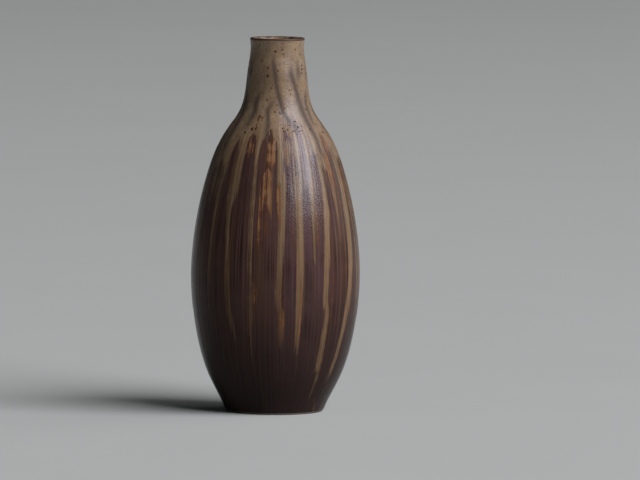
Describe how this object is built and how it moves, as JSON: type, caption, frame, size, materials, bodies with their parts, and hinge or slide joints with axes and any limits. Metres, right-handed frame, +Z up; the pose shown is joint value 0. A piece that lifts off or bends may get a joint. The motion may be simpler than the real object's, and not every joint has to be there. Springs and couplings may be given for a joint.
{
  "type": "bottle vase",
  "caption": "Tall stoneware bottle vase with a full belly, narrow neck, speckled buff collar and glaze runs over a dark streaked glaze.",
  "frame": {"origin": "centre of the foot ring, on the surface the vase stands on", "axes": "+Z up along the turning axis; -Y is the side that the picture shows"},
  "size_m": [0.1363, 0.1364, 0.3],
  "materials": {
    "bare_clay": "unglazed fired stoneware",
    "dark_glaze": "satin dark iron glaze with fine streaks",
    "buff_glaze": "satin buff glaze with iron specks",
    "run_glaze": "satin tan glaze that has run"
  },
  "bodies": {
    "root": {"clay_body": "bare_clay", "base_glaze": "dark_glaze", "collar_glaze": "buff_glaze", "lip_glaze": "dark_glaze", "glaze_run_01": "run_glaze", "glaze_run_02": "run_glaze", "glaze_run_03": "run_glaze", "glaze_run_04": "run_glaze", "glaze_run_05": "run_glaze", "glaze_run_06": "run_glaze", "glaze_run_07": "run_glaze", "glaze_run_08": "run_glaze", "glaze_run_09": "run_glaze", "glaze_run_10": "run_glaze", "glaze_run_11": "run_glaze", "glaze_run_12": "run_glaze", "glaze_run_13": "run_glaze", "glaze_run_14": "run_glaze", "glaze_run_15": "run_glaze", "glaze_run_16": "run_glaze", "glaze_run_17": "run_glaze", "glaze_run_18": "run_glaze", "glaze_run_19": "run_glaze", "glaze_run_20": "run_glaze", "glaze_run_21": "run_glaze"}
  },
  "joints": []
}
